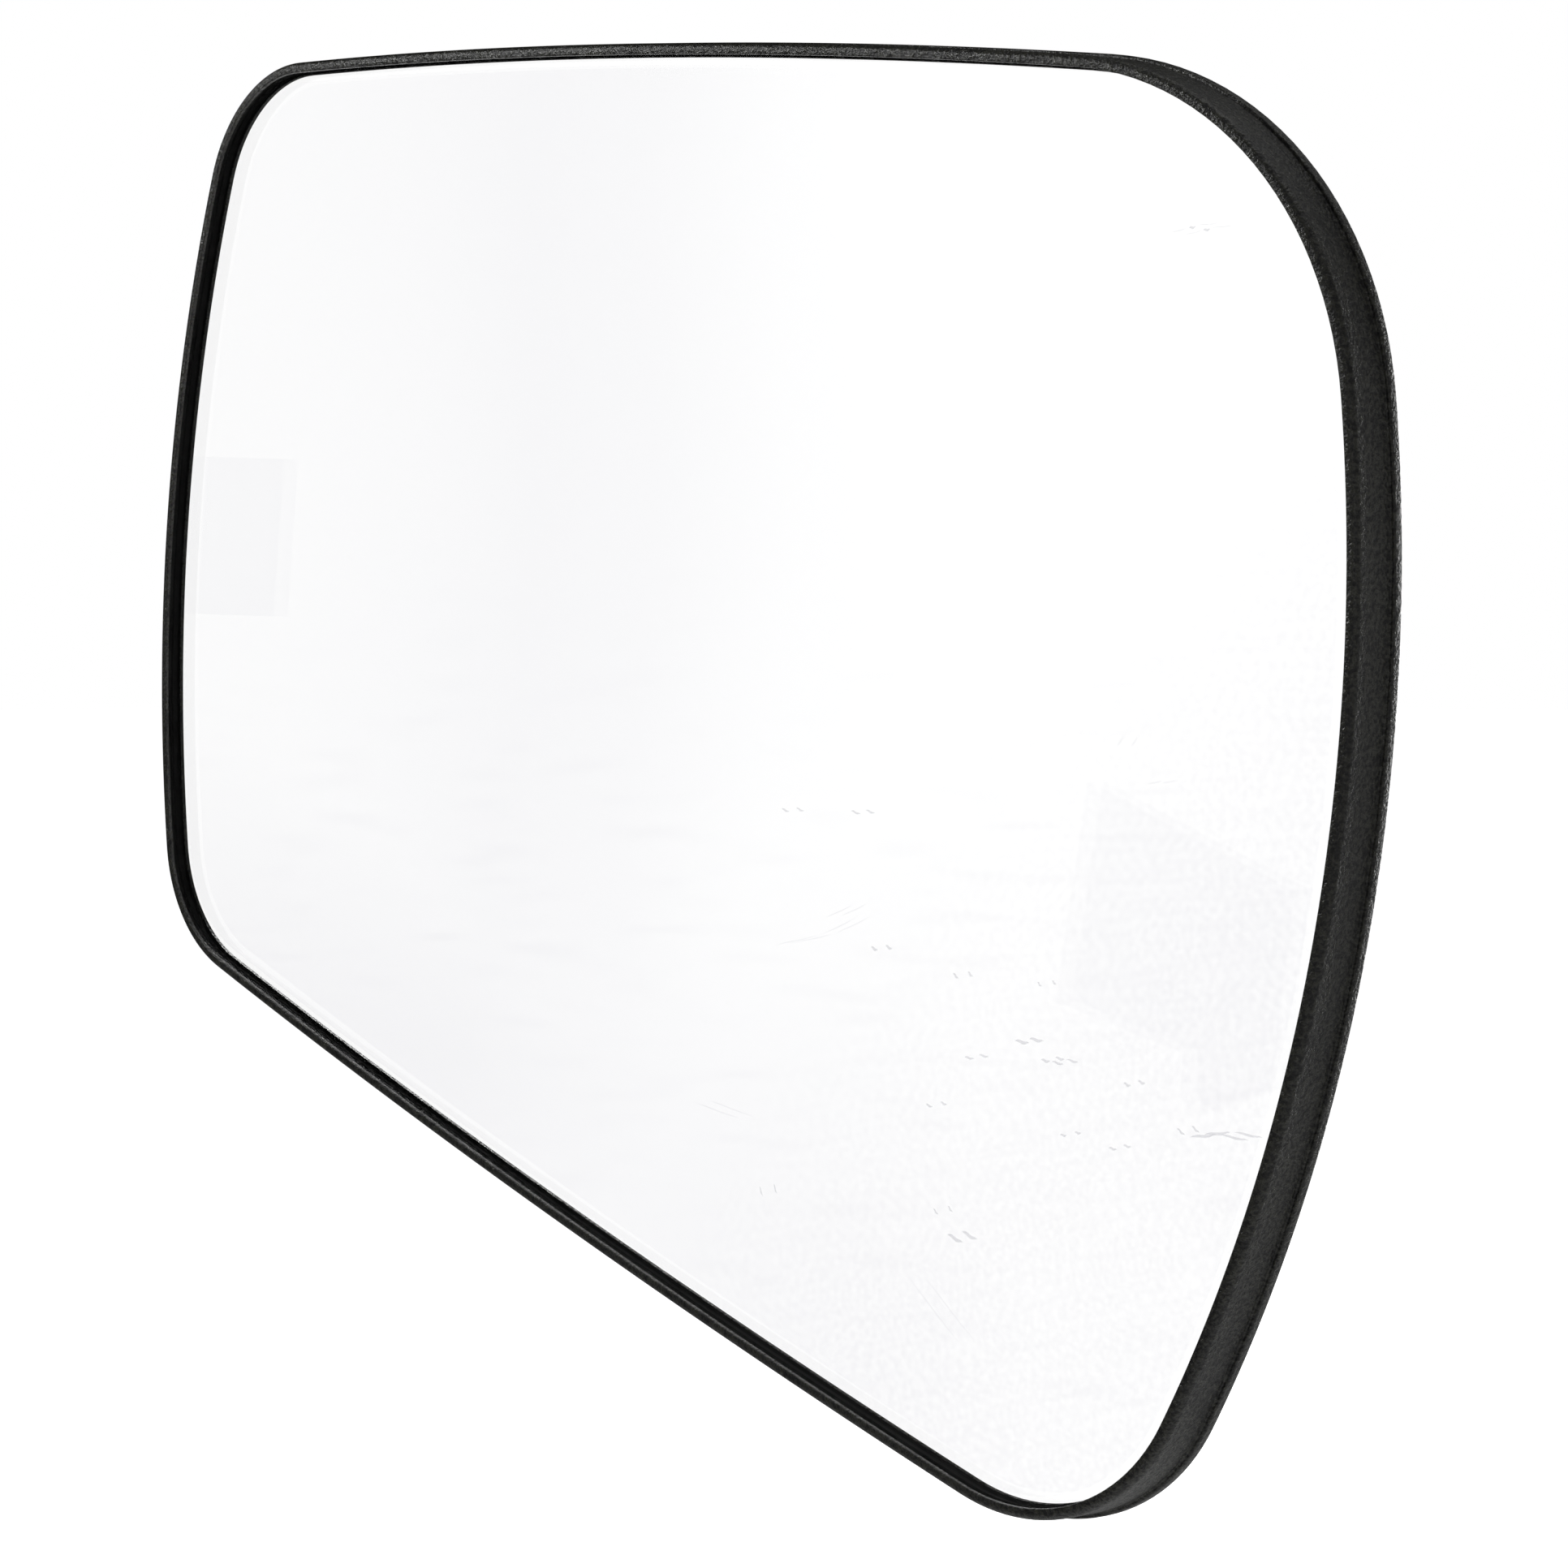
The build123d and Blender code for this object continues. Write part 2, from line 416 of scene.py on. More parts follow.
def makeRing():
    # the snap ring: a wall cut by slots and windows on the seat disc, built cell by cell
    p = plate
    mouth = p["ringHeight"]
    slotFoot = mouth - p["slotDepth"]
    windowTop = mouth - p["windowToMouth"]
    windowFoot = windowTop - p["windowHeight"]
    rows = [p["ringRoot"], 0.0, slotFoot / 2, slotFoot, windowFoot, windowTop, mouth - p["leadIn"], mouth]
    columns = ringColumns()
    inner, outer = p["bore"], p["bore"] + p["wall"]
    count, height = len(columns), len(rows)
    points, faces = [], []
    for a, b, _ in columns:
        for j, y in enumerate(rows):
            r = inner + (p["leadIn"] if j == height - 1 else 0)
            points.append((r * math.sin(a), y, r * math.cos(a)))
            points.append((outer * math.sin(b), y, outer * math.cos(b)))

    def solid(k, j):
        if j < 0 or j >= height - 1:
            return False
        kind = columns[k % count][2]
        if kind == "slot":
            return rows[j] < slotFoot
        return not (kind == "window" and windowFoot <= rows[j] < windowTop)

    def at(k, j, side):
        return ((k % count) * height + j) * 2 + side

    for k in range(count):
        for j in range(height - 1):
            if not solid(k, j):
                continue
            faces.append((at(k, j, 1), at(k + 1, j, 1), at(k + 1, j + 1, 1), at(k, j + 1, 1)))
            if j > 0:
                faces.append((at(k, j, 0), at(k, j + 1, 0), at(k + 1, j + 1, 0), at(k + 1, j, 0)))
            if not solid(k, j + 1):
                faces.append((at(k, j + 1, 0), at(k, j + 1, 1), at(k + 1, j + 1, 1), at(k + 1, j + 1, 0)))
            if not solid(k, j - 1):
                faces.append((at(k, j, 0), at(k + 1, j, 0), at(k + 1, j, 1), at(k, j, 1)))
            if not solid(k - 1, j):
                faces.append((at(k, j, 0), at(k, j, 1), at(k, j + 1, 1), at(k, j + 1, 0)))
            if not solid(k + 1, j):
                faces.append((at(k + 1, j, 0), at(k + 1, j + 1, 0), at(k + 1, j + 1, 1), at(k + 1, j, 1)))
    # the seat disc's two faces, from the bore's foot to the middle
    for j in (0, 1):
        foot = [points[at(k, j, 0)] for k in range(count)]
        edge = [at(k, j, 0) for k in range(count)]
        for share in p["seatRings"]:
            ring = [len(points) + k for k in range(count)]
            points += [(x * share, y, z * share) for x, y, z in foot]
            faces += [(edge[k], edge[(k + 1) % count], ring[(k + 1) % count], ring[k]) for k in range(count)]
            edge = ring
        points.append((0, rows[j], 0))
        faces += [(edge[k], edge[(k + 1) % count], len(points) - 1) for k in range(count)]
    return meshObject("snapRing", points, faces, [plasticSkin], None, p["smoothAngle"])


def reachOf(turn, side):
    # how far one side of a rib runs from the ring's centre to the middle of the skirt's wall
    p = plate
    edge = outline((p["pocket"] + p["skirt"]) / 2)
    along = np.array([math.sin(turn), math.cos(turn)])
    across = np.array([math.cos(turn), -math.sin(turn)])
    start = across * side * p["ribThickness"] / 2
    best = 0.0
    for a, b in zip(edge, np.roll(edge, -1, axis=0)):
        span = b - a
        cross = along[0] * span[1] - along[1] * span[0]
        if abs(cross) < 1e-9:
            continue
        gap = a - start
        reach = (gap[0] * span[1] - gap[1] * span[0]) / cross
        share = (gap[0] * along[1] - gap[1] * along[0]) / cross
        if 0 <= share <= 1 and reach > best:
            best = reach
    return best


def ribTree(names):
    # ribs that run from the ring to the skirt and one hoop, all as high as the dome's rule says
    tree = bpy.data.node_groups.new("ribsOnDome", "GeometryNodeTree")
    tree.interface.new_socket("Geometry", in_out="INPUT", socket_type="NodeSocketGeometry")
    for name in names:
        tree.interface.new_socket(name, in_out="INPUT", socket_type="NodeSocketFloat")
    tree.interface.new_socket("Material", in_out="INPUT", socket_type="NodeSocketMaterial")
    tree.interface.new_socket("Geometry", in_out="OUTPUT", socket_type="NodeSocketGeometry")
    given = tree.nodes.new("NodeGroupInput").outputs

    def calc(operation, *values):
        return mathNode(tree, operation, *values)

    def attribute(name):
        read = addNode(tree, "GeometryNodeInputNamedAttribute", {"Name": name}, data_type="FLOAT")
        return read.outputs["Attribute"]

    def domeHeight(x, z, level):
        flat = calc("ADD", calc("MULTIPLY", x, x), calc("MULTIPLY", z, z))
        reach = calc("ADD", given["Dome Radius"], level)
        rise = calc("SQRT", calc("SUBTRACT", calc("MULTIPLY", reach, reach), flat))
        return calc("SUBTRACT", calc("ADD", given["Dome Front"], given["Dome Radius"]), rise)

    def place(geometry, x, y, z):
        where = addNode(tree, "ShaderNodeCombineXYZ", {"X": x, "Y": y, "Z": z})
        scaled = addNode(tree, "ShaderNodeVectorMath", {0: where.outputs[0], "Scale": mm}, operation="SCALE")
        inputs = {"Geometry": geometry, "Position": scaled.outputs["Vector"]}
        return addNode(tree, "GeometryNodeSetPosition", inputs).outputs[0]

    def localPlace():
        here = addNode(tree, "GeometryNodeInputPosition")
        found = addNode(tree, "ShaderNodeSeparateXYZ", {"Vector": here.outputs[0]}).outputs
        return found["X"], found["Y"], found["Z"]

    # the ribs: one unit bar on each spoke, its ends at the ring and at the skirt
    bar = addNode(tree, "GeometryNodeMeshCube", {
        "Size": (1, 1, 1), "Vertices X": plate["ribSteps"], "Vertices Y": 2, "Vertices Z": 2})
    copies = addNode(tree, "GeometryNodeInstanceOnPoints", {
        "Points": given["Geometry"], "Instance": bar.outputs["Mesh"]})
    bars = addNode(tree, "GeometryNodeRealizeInstances", {"Geometry": copies.outputs[0]})
    share, raised, side = localPlace()
    reach = calc("ADD", calc("MULTIPLY", calc("SUBTRACT", 0.5, side), attribute("reachLow")),
                 calc("MULTIPLY", calc("ADD", 0.5, side), attribute("reachHigh")))
    run = calc("SUBTRACT", reach, given["Start"])
    along = calc("MULTIPLY_ADD", calc("ADD", share, 0.5), run, given["Start"])
    across = calc("MULTIPLY", side, given["Rib Thickness"])
    turn = attribute("turn")
    sine, cosine = calc("SINE", turn), calc("COSINE", turn)
    x = calc("ADD", calc("MULTIPLY", along, sine), calc("MULTIPLY", across, cosine))
    z = calc("SUBTRACT", calc("MULTIPLY", along, cosine), calc("MULTIPLY", across, sine))
    isTop = calc("GREATER_THAN", raised, 0.0)
    pastRing = calc("SUBTRACT", along, given["Gusset Start"])
    gusset = calc("MULTIPLY_ADD", pastRing, given["Gusset Slope"], given["Gusset Height"])
    ribTop = domeHeight(x, z, given["Rib Level"])
    top = calc("MAXIMUM", ribTop, calc("MINIMUM", gusset, given["Gusset Height"]))
    root = domeHeight(x, z, given["Root Level"])
    ribs = place(bars.outputs[0], x, calc("MULTIPLY_ADD", isTop, calc("SUBTRACT", top, root), root), z)

    # the hoop: a square section swept round the ring
    circle = addNode(tree, "GeometryNodeCurvePrimitiveCircle", {
        "Resolution": plate["hoopSteps"], "Radius": given["Hoop Radius"]})
    section = addNode(tree, "GeometryNodeCurvePrimitiveQuadrilateral", {
        "Width": given["Rib Thickness"], "Height": given["Rib Thickness"]})
    flatHoop = addNode(tree, "GeometryNodeCurveToMesh", {
        "Curve": circle.outputs["Curve"], "Profile Curve": section.outputs[0]})
    upright = addNode(tree, "GeometryNodeTransform", {
        "Geometry": flatHoop.outputs[0], "Rotation": (math.pi / 2, 0, 0)})
    x, raised, z = localPlace()
    isTop = calc("GREATER_THAN", raised, 0.0)
    top = domeHeight(x, z, given["Hoop Level"])
    root = domeHeight(x, z, given["Root Level"])
    hoop = place(upright.outputs[0], x, calc("MULTIPLY_ADD", isTop, calc("SUBTRACT", top, root), root), z)

    both = tree.nodes.new("GeometryNodeJoinGeometry")
    tree.links.new(ribs, both.inputs[0])
    tree.links.new(hoop, both.inputs[0])
    whole = addNode(tree, "GeometryNodeRealizeInstances", {"Geometry": both.outputs[0]})
    painted = addNode(tree, "GeometryNodeSetMaterial", {
        "Geometry": whole.outputs[0], "Material": given["Material"]})
    addNode(tree, "NodeGroupOutput", {"Geometry": painted.outputs[0]})
    return tree


def makeRibs():
    p = plate
    turns = [2 * math.pi * (i + 0.5) / p["ribs"] for i in range(p["ribs"])]
    spokes = bpy.data.meshes.new("spokes")
    spokes.from_pydata([(0, 0, 0)] * p["ribs"], [], [])
    values = {
        "turn": turns,
        "reachLow": [reachOf(t, -1) for t in turns],
        "reachHigh": [reachOf(t, 1) for t in turns],
    }
    for name, row in values.items():
        spokes.attributes.new(name, "FLOAT", "POINT").data.foreach_set("value", row)
    ribWork = bpy.data.objects.new("ribWork", spokes)
    bpy.context.scene.collection.objects.link(ribWork)
    ribLevel = p["floorBack"] - p["ribHeight"]
    sizes = {
        "Dome Radius": dome["radius"], "Dome Front": dome["front"], "Start": p["bore"] + p["wall"] / 2,
        "Rib Thickness": p["ribThickness"], "Rib Level": ribLevel, "Root Level": p["floorBack"] + p["ribSink"],
        "Hoop Level": ribLevel + p["hoopDrop"], "Hoop Radius": p["hoopRadius"],
        "Gusset Start": p["bore"] + p["wall"], "Gusset Height": p["gussetHeight"],
        "Gusset Slope": (p["gussetFoot"] - p["gussetHeight"]) / p["gussetLength"],
    }
    tree = ribTree(list(sizes))
    modifier = ribWork.modifiers.new("ribsOnDome", "NODES")
    modifier.node_group = tree
    for item in tree.interface.items_tree:
        if item.in_out == "INPUT" and item.name in sizes:
            modifier[item.identifier] = sizes[item.name]
        if item.in_out == "INPUT" and item.name == "Material":
            modifier[item.identifier] = plasticSkin
    return ribWork


def softened(piece):
    # the piece's finished mesh with its edges rounded as a mould leaves them
    bevel = piece.modifiers.new("softEdges", "BEVEL")
    bevel.width, bevel.segments, bevel.limit_method = plate["softEdge"] * mm, plate["softSteps"], "ANGLE"
    bevel.angle_limit = math.radians(plate["softAngle"])
    shape = bpy.data.meshes.new_from_object(piece.evaluated_get(bpy.context.evaluated_depsgraph_get()))
    piece.modifiers.clear()
    return shape


def joinInto(target, extras):
    # one moulding, one mesh: the extra shells overlap the target's floor and wall
    whole = bmesh.new()
    whole.from_mesh(target.data)
    for extra in extras:
        shape = softened(extra)
        whole.from_mesh(shape)
        bpy.data.meshes.remove(shape)
        bpy.data.objects.remove(extra)
    bmesh.ops.recalc_face_normals(whole, faces=whole.faces)
    for face in whole.faces:
        face.material_index = 0
    whole.to_mesh(target.data)
    whole.free()
    target.data.shade_smooth()
    target.data.set_sharp_from_angle(angle=math.radians(plate["smoothAngle"]))


backingPlate = makePlateBody()
print("plate's rim and floor made")
joinInto(backingPlate, [makeRing(), makeRibs()])
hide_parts("backing_plate")
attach(backingPlate, "root")
print("plate made")

# Clear plastic of the film and the tape: its gloss is the share of light that meets a clear skin
clearSkin = {"tone": "#FAFAFD", "index": 1.49, "gloss": 0.0015}


def clearPlastic(name, tint, gloss):
    # lets nearly all light through and dims it by its tint at each face
    material, tree = newMaterial(name)
    through = addNode(tree, "ShaderNodeBsdfTransparent", {"Color": tint(tree) if callable(tint) else tint})
    skin = addNode(tree, "ShaderNodeBsdfPrincipled", {
        "Base Color": colour(clearSkin["tone"]), "Roughness": 0.0, "IOR": clearSkin["index"],
        "Transmission Weight": 1.0})
    mixed = addNode(tree, "ShaderNodeMixShader", {0: gloss, 1: through.outputs[0], 2: skin.outputs[0]})
    closeMaterial(tree, mixed.outputs[0])
    return material


# The protective film, in mm: cut inside the sight line, short at its inboard end, faintly creased
film = {
    "inset": 1.3, "shortBy": 2.6, "back": 0.02, "front": 0.10,
    "creaseRise": 0.06, "creaseSink": 0.03, "creaseSteps": 7, "creaseTaper": 0.7,
    "creaseWander": 0.5, "creaseWaves": 1.2, "fineBelow": 0.2,
    # painted shade: the creases' tints darken them, the wide creases more than the fine ones
    "backTint": grey(0.9995), "creasePaintedShade": grey(0.88, 0.01), "creaseGloss": 0.01,
    "fineCreasePaintedShade": grey(0.965, 0.004), "fineGloss": 0.004,
    # each crease: x and z of one end, x and z of the other, width
    "creases": [
        (48.2, -38.8, 50.2, -38.9, 0.36), (51.7, -40.6, 53.0, -40.7, 0.3), (53.2, -40.7, 54.8, -40.9, 0.24),
        (62.6, -42.4, 63.6, -42.6, 0.3), (54.1, -48.3, 55.0, -48.3, 0.26), (60.5, -49.2, 61.6, -49.3, 0.26),
        (38.2, -60.0, 40.4, -60.7, 0.4), (32.4, -65.1, 39.8, -71.9, 0.14), (28.1, -29.8, 29.1, -30.1, 0.32),
        (13.7, -30.2, 20.6, -28.8, 0.12), (20.8, -28.8, 26.0, -26.7, 0.14), (21.5, -26.9, 25.6, -25.3, 0.14),
        (0.4, -48.3, 7.8, -49.7, 0.12), (35.6, -46.3, 36.6, -46.5, 0.26), (39.8, -32.1, 40.6, -32.6, 0.28),
        (41.2, -40.9, 42.6, -41.0, 0.24), (36.3, -57.4, 37.0, -58.0, 0.24), (10.5, -57.0, 11.0, -58.1, 0.2),
        (15.0, -15.2, 16.2, -15.5, 0.22), (25.4, -15.2, 26.8, -15.5, 0.24), (68.5, 44.4, 70.5, 44.7, 0.14),
        (70.7, 44.7, 71.6, 44.8, 0.26), (71.8, 44.9, 74.5, 45.0, 0.14), (71.0, -47.4, 74.4, -46.9, 0.3),
        (74.8, -46.9, 78.4, -47.2, 0.26), (69.4, -46.6, 70.4, -47.2, 0.26), (66.1, -11.6, 68.1, -11.2, 0.16),
        (62.2, -7.9, 63.0, -6.8, 0.16), (51.4, -32.5, 52.0, -32.9, 0.24)],
}
# Where the film dims: a painted reflection of the room as a grey band and a greyer low inboard part, and the
# film's own orange peel and streaks; spans in metres, amounts as shares of its greyest tone
hazeAndReflection = {
    "greyest": (0.9487, 0.9477, 0.9555, 1.0),
    "driftScale": 14.0, "drift": 0.03,
    "reflectionBandSpan": (-0.1, 0.1),
    "reflectionBand": [(0.0, 0.2), (0.115, 0.3), (0.245, 0.5), (0.357, 0.76), (0.465, 0.64), (0.57, 0.22), (0.67, 0.03),
             (0.77, 0.0)],
    "reflectionLowSpan": (0.005, -0.045), "reflectionInboardSpan": (0.05, -0.035),
    "peelSpan": (0.045, 0.105), "peelScale": 1200.0, "peelFrom": (0.36, 0.66), "peel": (0.26, 0.74),
    "streakTurn": -20, "streakScale": (55, 1, 420), "streakFrom": (0.55, 0.75), "streakSpan": (0.02, -0.02),
    "streak": 0.2,
}


def hazeAndReflectionTint(tree):
    # painted reflection of the room: a grey band inboard of the middle and the low inboard part; then the
    # film's own orange peel low outboard, and soft streaks
    place = objectPlace(tree)
    apart = addNode(tree, "ShaderNodeSeparateXYZ", {"Vector": place}).outputs
    drift = noise(tree, place, hazeAndReflection["driftScale"], 0.0)
    offset = mathNode(tree, "MULTIPLY_ADD", drift, hazeAndReflection["drift"], -hazeAndReflection["drift"] / 2)
    x = mathNode(tree, "ADD", apart["X"], offset)
    reflectionBand = addNode(tree, "ShaderNodeValToRGB", {"Fac": mapRange(tree, x, hazeAndReflection["reflectionBandSpan"])})
    while len(reflectionBand.color_ramp.elements) < len(hazeAndReflection["reflectionBand"]):
        reflectionBand.color_ramp.elements.new(0.5)
    for element, (spot, amount) in zip(reflectionBand.color_ramp.elements, hazeAndReflection["reflectionBand"]):
        element.position, element.color = spot, grey(amount)
    low, inboard = mapRange(tree, apart["Z"], hazeAndReflection["reflectionLowSpan"]), mapRange(tree, x, hazeAndReflection["reflectionInboardSpan"])
    # painted reflection: the grey band and the low inboard part together
    paintedReflection = mathNode(tree, "MAXIMUM", reflectionBand.outputs["Color"], mathNode(tree, "MULTIPLY", low, inboard))
    slope = mathNode(tree, "MULTIPLY_ADD", apart["Z"], -1.0, apart["X"])
    dips = mapRange(tree, noise(tree, place, hazeAndReflection["peelScale"], 1.0), hazeAndReflection["peelFrom"], hazeAndReflection["peel"])
    peeled = mathNode(tree, "MULTIPLY_ADD", mapRange(tree, slope, hazeAndReflection["peelSpan"]), dips, paintedReflection)
    laid = addNode(tree, "ShaderNodeMapping", {
        "Vector": place, "Rotation": (0, math.radians(hazeAndReflection["streakTurn"]), 0), "Scale": hazeAndReflection["streakScale"]})
    streak = noise(tree, laid.outputs[0], 1.0, 1.0)
    most = mapRange(tree, apart["Z"], hazeAndReflection["streakSpan"], (0.0, hazeAndReflection["streak"]))
    lines = mapRange(tree, streak, hazeAndReflection["streakFrom"], (0.0, most))
    total = addNode(tree, "ShaderNodeMath", {0: peeled, 1: lines}, operation="ADD", use_clamp=True)
    return addNode(tree, "ShaderNodeMix", {0: total.outputs[0], 6: grey(1.0), 7: hazeAndReflection["greyest"]},
                   data_type="RGBA").outputs[2]


def crease(points, faces, x0, z0, x1, z1, width):
    # a low pointed ridge in the film from one end to the other
    a, b = np.array([x0, z0]), np.array([x1, z1])
    side = np.array([z0 - z1, x1 - x0]) / np.linalg.norm(b - a) * width / 2
    low, top = film["front"] - film["creaseSink"], film["front"] + film["creaseRise"]
    first, steps = len(points), film["creaseSteps"]
    for k in range(1, steps):
        t = k / steps
        swell = math.sin(math.pi * t) ** film["creaseTaper"]
        wander = film["creaseWander"] * math.sin(2 * math.pi * film["creaseWaves"] * t)
        flat = a + (b - a) * t + side * wander
        ridge = low + (top - low) * swell
        for offset, level in ((side * swell, low), (side * 0, ridge), (-side * swell, low)):
            points += domePoints([flat + offset], level)
    points += domePoints([a, b], low)
    last = first + 3 * (steps - 2)
    for k in range(steps - 2):
        q = first + 3 * k
        faces += [(q, q + 1, q + 4, q + 3), (q + 1, q + 2, q + 5, q + 4), (q + 2, q, q + 3, q + 5)]
    for j in range(3):
        after = (j + 1) % 3
        faces += [(len(points) - 2, first + j, first + after), (len(points) - 1, last + after, last + j)]


def makeFilm():
    sheet, faces, count = closedSheet([(-film["inset"], film["front"]), (-film["inset"], film["back"])])
    frontCount, frontPole = (len(sheetShares) + 1) * count, len(sheet) - 2
    lowX, highX = min(p[0] for p in sheet), max(p[0] for p in sheet)
    points = []
    for k, (x, _, z) in enumerate(sheet):
        level = film["front"] if k < frontCount or k == frontPole else film["back"]
        moved = x + film["shortBy"] * (highX - x) / (highX - lowX)
        points += domePoints([(moved, z)], level)
    slots = [0 if all(v < frontCount or v == frontPole for v in face) else 3 for face in faces]
    for line in film["creases"]:
        crease(points, faces, *line)
        fine = line[4] < film["fineBelow"]
        slots += [2 if fine else 1] * (len(faces) - len(slots))
    # the film's front carries its haze and a painted reflection of the room
    skins = [clearPlastic("clearProtectiveFilm", hazeAndReflectionTint, clearSkin["gloss"]),
             # the creased films carry painted shade along their ridges
             clearPlastic("creasedFilmPaintedShade", film["creasePaintedShade"], film["creaseGloss"]),
             clearPlastic("finelyCreasedFilmPaintedShade", film["fineCreasePaintedShade"], film["fineGloss"]),
             clearPlastic("clearProtectiveFilmBack", film["backTint"], clearSkin["gloss"])]
    return meshObject("protectiveFilm", points, faces, skins, slots)


protectiveFilm = makeFilm()
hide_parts("protective_film")
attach(protectiveFilm, "root")
print("film made")

# The two tape tabs on the film: corners in mm, the fold as a share of the length
tape = {
    "back": 0.12, "front": 0.20, "steps": 24, "cut": 0.014, "fade": 0.02,
    "sagRun": 0.1, "sag": [0.2, 0.27, 0.0],  # how much lower the doubled end hangs past the fold
    # painted shade: the darker tint along the cut edges and the fold line; the doubled end's share stands for
    # its second layer
    "tint": grey(0.9915, 0.0015), "cutEdgeShade": grey(0.91, 0.01), "doubled": 0.11,
    "tabs": {
        "inboardTab": {"node": "inboard_tab", "fold": None,
                       "corners": [(-92.2, 26.6), (-72.7, 25.7), (-74.7, 6.4), (-93.9, 6.9)]},
        "outboardTab": {"node": "outboard_tab", "fold": 0.6,
                        "corners": [(58.5, -11.4), (84.4, -21.9), (81.4, -41.8), (54.0, -34.4)]},
    },
}


def tapeTint(tree):
    # painted shade on the cut edges of the tape and on its fold line; its doubled end passes less light through
    # two layers
    density = addNode(tree, "ShaderNodeAttribute", attribute_name="density")
    return addNode(tree, "ShaderNodeMix", {0: density.outputs["Fac"], 6: tape["tint"], 7: tape["cutEdgeShade"]},
                   data_type="RGBA").outputs[2]


def makeTab(name, corners, fold, material):
    # a thin sheet over four corners; beyond the fold it is doubled askew, so it stands higher and hangs lower
    a, b, c, d = [np.array(p) for p in corners]
    steps, cut, fade = tape["steps"], tape["cut"], tape["fade"]
    rows = sorted({k / steps for k in range(1, steps)} | {0.0, cut, fade, 1 - fade, 1 - cut, 1.0})
    columns = sorted(set(rows) | ({fold, fold + cut, fold + fade} if fold else set()))
    points, faces, density = [], [], []
    for level in (tape["front"], tape["back"]):
        for u in columns:
            twice = fold is not None and u > fold
            atFold = fold is not None and fold <= u <= fold + cut
            sag = np.interp(u, [fold, fold + tape["sagRun"], 1.0], tape["sag"]) if twice else 0.0
            rise = tape["front"] - tape["back"] if twice and level == tape["front"] else 0.0
            for row in rows:
                v = row * (1 + sag)
                flat = (1 - u) * (1 - v) * a + u * (1 - v) * b + u * v * c + (1 - u) * v * d
                points += domePoints([flat], level + rise)
                atEdge = min(u, 1 - u, row, 1 - row) < (cut + fade) / 2
                # painted shade along the edges and the fold; the doubled end is a real second layer
                density.append(1.0 if atEdge or atFold else tape["doubled"] if twice else 0.0)
    wide, tall = len(columns), len(rows)
    back = wide * tall
    for i in range(wide - 1):
        for j in range(tall - 1):
            q = (i * tall + j, (i + 1) * tall + j, (i + 1) * tall + j + 1, i * tall + j + 1)
            faces.append(q)
            faces.append(tuple(back + k for k in q[::-1]))
    ring = [i * tall for i in range(wide)] + [(wide - 1) * tall + j for j in range(1, tall)]
    ring += [i * tall + tall - 1 for i in range(wide - 2, -1, -1)] + list(range(tall - 2, 0, -1))
    for p, q in zip(ring, ring[1:] + ring[:1]):
        faces.append((p, q, back + q, back + p))
    tab = meshObject(name, points, faces, [material])
    tab.data.attributes.new("density", "FLOAT", "POINT").data.foreach_set("value", density)
    return tab


tapeSkin = clearPlastic("clearTape", tapeTint, clearSkin["gloss"])
for name, tab in tape["tabs"].items():
    piece = makeTab(name, tab["corners"], tab["fold"], tapeSkin)
    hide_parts(tab["node"])
    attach(piece, "root")
print("tabs made")

# The camera: degrees and mm, with its focal length in pixels of the square frame
shot = {
    "azimuth": 44.8, "elevation": 1.5, "distance": 519.7, "target": (15.33, -5.06, -12.48),
    "focalPixels": 5861.4, "framePixels": 1932, "sensor": 36, "clip": (0.01, 50),
}


def makeCamera():
    a, e = math.radians(shot["azimuth"]), math.radians(shot["elevation"])
    back = Vector((math.sin(a) * math.cos(e), -math.cos(a) * math.cos(e), math.sin(e)))
    camera = bpy.data.objects.new("camera", bpy.data.cameras.new("camera"))
    bpy.context.scene.collection.objects.link(camera)
    camera.location = (Vector(shot["target"]) + back * shot["distance"]) * mm
    camera.rotation_mode = "QUATERNION"
    camera.rotation_quaternion = (-back).to_track_quat("-Z", "Y")
    camera.data.lens = shot["focalPixels"] * shot["sensor"] / shot["framePixels"]
    camera.data.clip_start, camera.data.clip_end = shot["clip"]
    bpy.context.scene.camera = camera


# Soft square lamps that aim at the part, in metres and watts
lamps = {
    "key": {"place": (-0.455, -0.38, 0.33), "size": 0.14, "power": 1.8},
    "cameraSide": {"place": (0.5, -0.52, 0.12), "size": 0.2, "power": 0.4},
    "topFill": {"place": (0.1, 0.12, 0.65), "size": 0.5, "power": 0.8},
    "rightFill": {"place": (0.7, 0.25, 0.05), "size": 0.35, "power": 0.3},
    "rearFill": {"place": (0.0, 0.85, 0.0), "size": 0.4, "power": 5.0},
}


def makeLamp(name, place, size, power):
    lamp = bpy.data.lights.new(name, "AREA")
    lamp.size, lamp.energy = size, power
    holder = bpy.data.objects.new(name, lamp)
    bpy.context.scene.collection.objects.link(holder)
    holder.location = place
    holder.rotation_euler = (-Vector(place)).to_track_quat("-Z", "Y").to_euler()
    holder.visible_camera = False
    holder.visible_transmission = False


# The room: its strengths, and the spans of direction over which each part fades in
room = {
    "side": 0.075, "dark": 0.005, "darkToward": (-1.0, 0.0, 0.0), "darkSpan": (0.2, 0.6),
    "ground": 0.55, "groundSpan": (-0.15, -0.8), "rear": 0.5, "rearSpan": (0.75, 0.95), "glassLoss": 0.11,
}


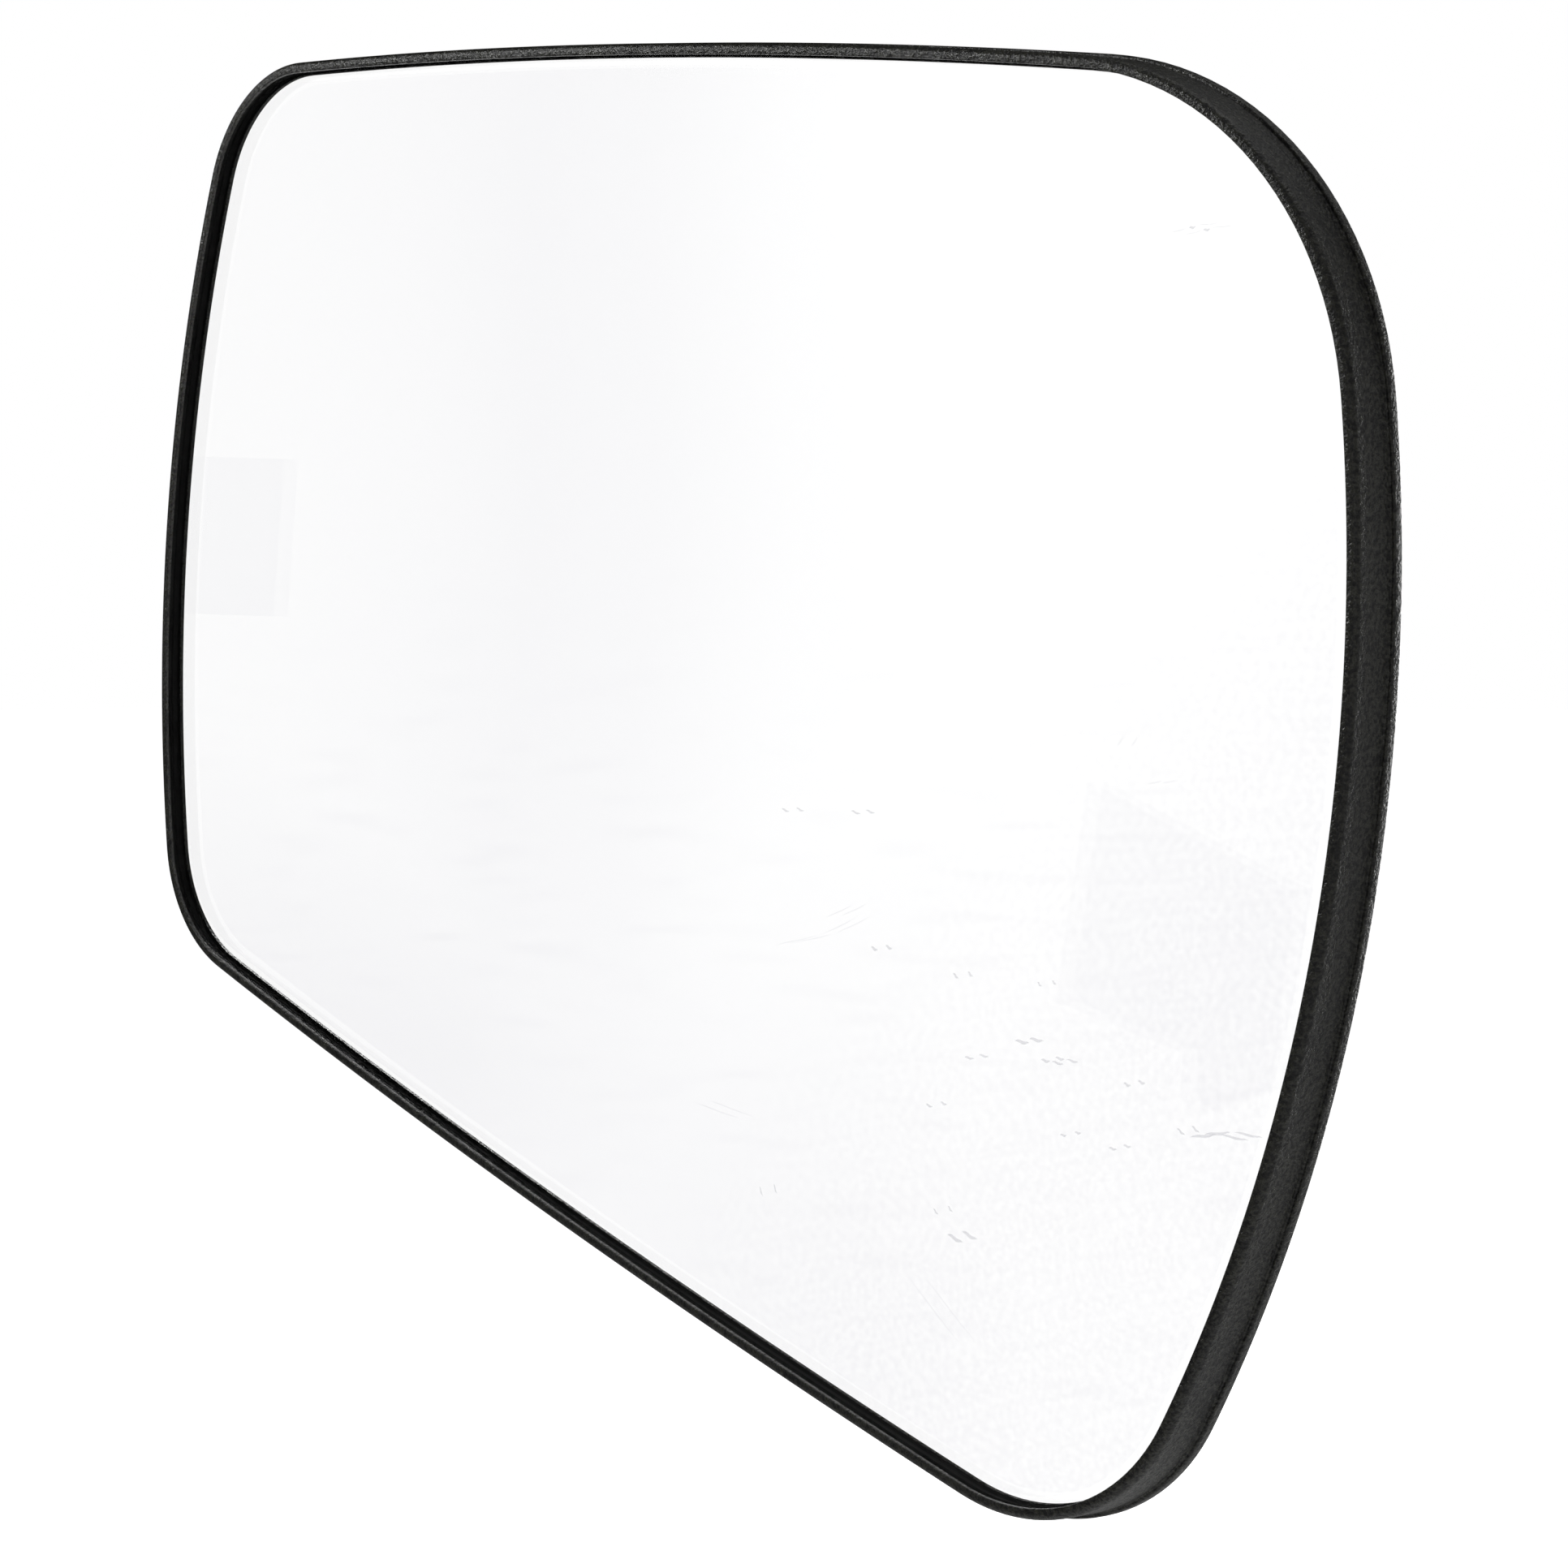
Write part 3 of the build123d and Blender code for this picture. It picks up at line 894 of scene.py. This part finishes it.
def makeWorld():
    # white where the camera or the mirror sees it; a dim room, dark before the glass, for the plastic's sheen
    world = bpy.data.worlds.new("studio")
    world.use_nodes = True
    bpy.context.scene.world = world
    tree = world.node_tree
    tree.nodes.clear()
    path = addNode(tree, "ShaderNodeLightPath").outputs
    place = addNode(tree, "ShaderNodeTexCoord").outputs["Generated"]
    toward = addNode(tree, "ShaderNodeVectorMath", {0: place, 1: room["darkToward"]}, operation="DOT_PRODUCT")
    apart = addNode(tree, "ShaderNodeSeparateXYZ", {"Vector": place}).outputs
    side = mapRange(tree, toward.outputs["Value"], room["darkSpan"], (room["side"], room["dark"]))
    ground = mapRange(tree, apart["Z"], room["groundSpan"], (0.0, room["ground"]))
    rear = mapRange(tree, apart["Y"], room["rearSpan"], (0.0, room["rear"]))
    around = mathNode(tree, "ADD", mathNode(tree, "ADD", side, ground), rear)
    whiteSeen = mathNode(tree, "MAXIMUM", path["Is Camera Ray"], path["Is Transmission Ray"])
    bright = mathNode(tree, "MULTIPLY_ADD", path["Is Transmission Ray"], room["glassLoss"], 1.0)
    strength = addNode(tree, "ShaderNodeMix", {0: whiteSeen, 2: around, 3: bright}, data_type="FLOAT")
    light = addNode(tree, "ShaderNodeBackground", {
        "Color": colour("#FFFFFF"), "Strength": strength.outputs[0]})
    addNode(tree, "ShaderNodeOutputWorld", {"Surface": light.outputs[0]})


# The sweep paper: half its side and its drop under the part, in metres
sweep = {"half": 12.0, "drop": 0.07, "tone": "#E6E6E6"}


def makeFloor():
    # pale paper that the camera sees as pure white
    half, z = sweep["half"], cadBox[0].z - sweep["drop"]
    mesh = bpy.data.meshes.new("floor")
    corners = [(-half, -half, z), (half, -half, z), (half, half, z), (-half, half, z)]
    mesh.from_pydata(corners, [], [(0, 1, 2, 3)])
    floor = bpy.data.objects.new("floor", mesh)
    bpy.context.scene.collection.objects.link(floor)
    material, tree = newMaterial("paleSweepPaper")
    path = addNode(tree, "ShaderNodeLightPath").outputs
    matt = addNode(tree, "ShaderNodeBsdfDiffuse", {"Color": colour(sweep["tone"])})
    glow = addNode(tree, "ShaderNodeEmission", {"Color": colour("#FFFFFF"), "Strength": path["Is Camera Ray"]})
    both = addNode(tree, "ShaderNodeAddShader", {0: matt.outputs[0], 1: glow.outputs[0]})
    closeMaterial(tree, both.outputs[0])
    mesh.materials.append(material)
    floor.visible_transmission = False
    floor.visible_glossy = False


makeCamera()
makeWorld()
makeFloor()
for name, lamp in lamps.items():
    makeLamp(name, **lamp)
bpy.context.scene.view_settings.view_transform = "Standard"
print("stage made")
